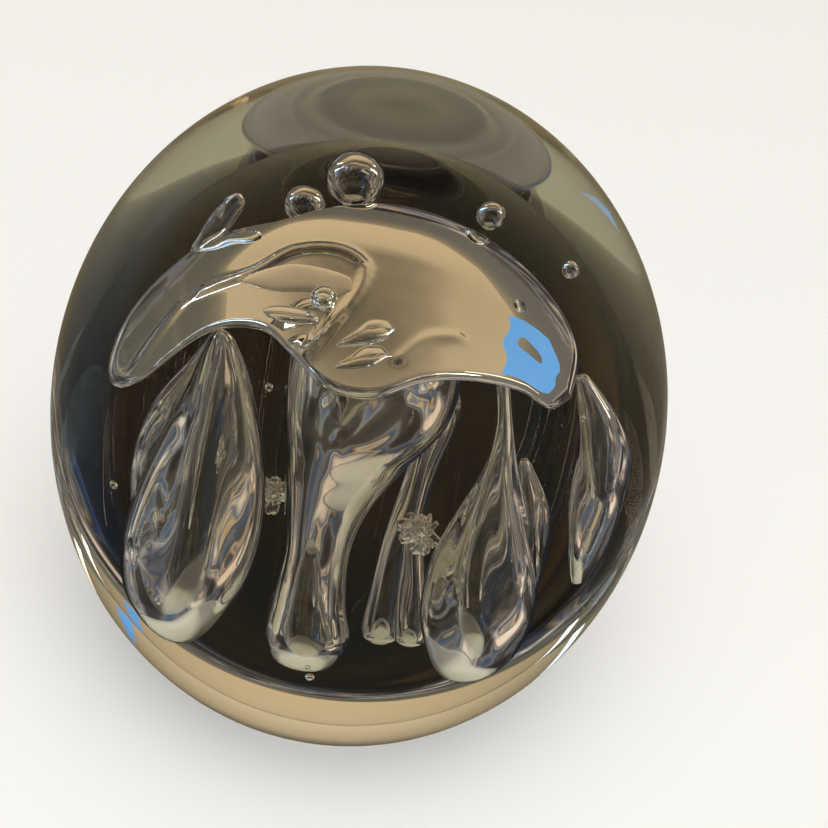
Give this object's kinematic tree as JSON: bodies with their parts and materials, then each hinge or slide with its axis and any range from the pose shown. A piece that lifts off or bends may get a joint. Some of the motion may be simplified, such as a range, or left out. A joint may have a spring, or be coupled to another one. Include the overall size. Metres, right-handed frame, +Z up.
{
  "type": "glass paperweight",
  "caption": "Egg-shaped art-glass paperweight, ground flat underneath, with a smoky core that holds a bell of trapped air, hanging air fingers, crumpled folds and round bubbles.",
  "frame": {"origin": "centre of the flat ground foot, at the bottom of the object's box", "axes": "+Z up along the egg's long axis; -Y towards the side that shows the teardrops and the funnel, +X to the viewer's right"},
  "size_m": [0.085, 0.085, 0.092],
  "materials": {
    "clear_glass": "fire-polished clear glass with a faint warm olive tone, ground foot",
    "smoky_glass": "smoky brown-grey inner glass, fused to the clear casing",
    "trapped_air": "silvery skin of a sealed air pocket"
  },
  "bodies": {
    "root": {"clear_casing": "clear_glass", "smoky_core": "smoky_glass", "air_canopy": "trapped_air", "canopy_fold": "trapped_air", "leaf_lobe": "trapped_air", "lens_bubble": "trapped_air", "left_teardrop": "trapped_air", "left_outer_veil": "trapped_air", "middle_funnel": "trapped_air", "narrow_finger": "trapped_air", "short_finger": "trapped_air", "right_teardrop": "trapped_air", "right_outer_loop": "trapped_air", "far_right_finger": "trapped_air", "back_left_horn": "trapped_air", "left_crinkle": "trapped_air", "middle_crinkle": "trapped_air", "right_crinkle": "trapped_air", "large_bubble_air": "trapped_air", "medium_bubble_air": "trapped_air", "small_bubble_air": "trapped_air", "fold_bubble_air": "trapped_air", "seed_bubbles": "trapped_air"}
  },
  "joints": []
}
